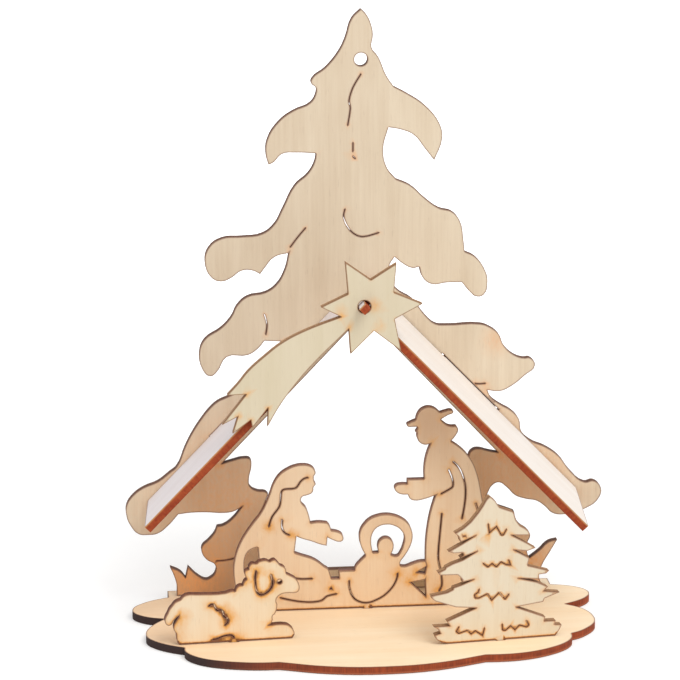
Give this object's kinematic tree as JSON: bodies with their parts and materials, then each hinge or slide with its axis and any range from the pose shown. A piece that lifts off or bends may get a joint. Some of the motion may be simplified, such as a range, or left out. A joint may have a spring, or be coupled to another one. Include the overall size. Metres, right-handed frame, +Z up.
{
  "type": "wooden nativity stable",
  "caption": "Plug-together plywood nativity stable for a table: fir-tree back with a gabled opening, roof planks, comet, figures, sheep and small fir on a cloud-shaped base.",
  "frame": {"origin": "centre of the base plate's underside", "axes": "+Z up, the front looks along -Y, +X to the right as seen from the front"},
  "size_m": [0.1865, 0.0918, 0.2318],
  "materials": {
    "base_wood": "bare birch plywood, laser-cut dark edge",
    "tree_wood": "bare birch plywood, laser-cut dark edge",
    "roof_left_wood": "bare birch plywood, laser-cut dark edge",
    "roof_right_wood": "bare birch plywood, laser-cut dark edge",
    "comet_wood": "bare birch plywood, laser-cut dark edge",
    "family_wood": "bare birch plywood, laser-cut dark edge",
    "sheep_wood": "bare birch plywood, laser-cut dark edge",
    "small_fir_wood": "bare birch plywood, laser-cut dark edge"
  },
  "bodies": {
    "base": {"base_plate": "base_wood"},
    "tree": {"tree_panel": "tree_wood"},
    "roof": {"roof_left": "roof_left_wood", "roof_right": "roof_right_wood"},
    "comet": {"comet": "comet_wood"},
    "figures": {"family_panel": "family_wood"},
    "sheep": {"sheep": "sheep_wood"},
    "small_fir": {"small_fir": "small_fir_wood"}
  },
  "joints": [
    {"name": "tree_lift", "type": "slide", "parent": "base", "child": "tree", "axis": [0, 0, 1], "range_m": [0, 0.01]},
    {"name": "roof_pull", "type": "slide", "parent": "tree", "child": "roof", "axis": [0, -1, 0], "range_m": [0, 0.008]},
    {"name": "comet_turn", "type": "hinge", "parent": "roof", "child": "comet", "pos_m": [-0.00346, -0.00374, 0.12815], "axis": [0, -1, 0], "continuous": true},
    {"name": "figures_lift", "type": "slide", "parent": "base", "child": "figures", "axis": [0, 0, 1], "range_m": [0, 0.008]},
    {"name": "sheep_lift", "type": "slide", "parent": "base", "child": "sheep", "axis": [0, 0, 1], "range_m": [0, 0.02]},
    {"name": "small_fir_lift", "type": "slide", "parent": "base", "child": "small_fir", "axis": [0, 0, 1], "range_m": [0, 0.02]}
  ]
}
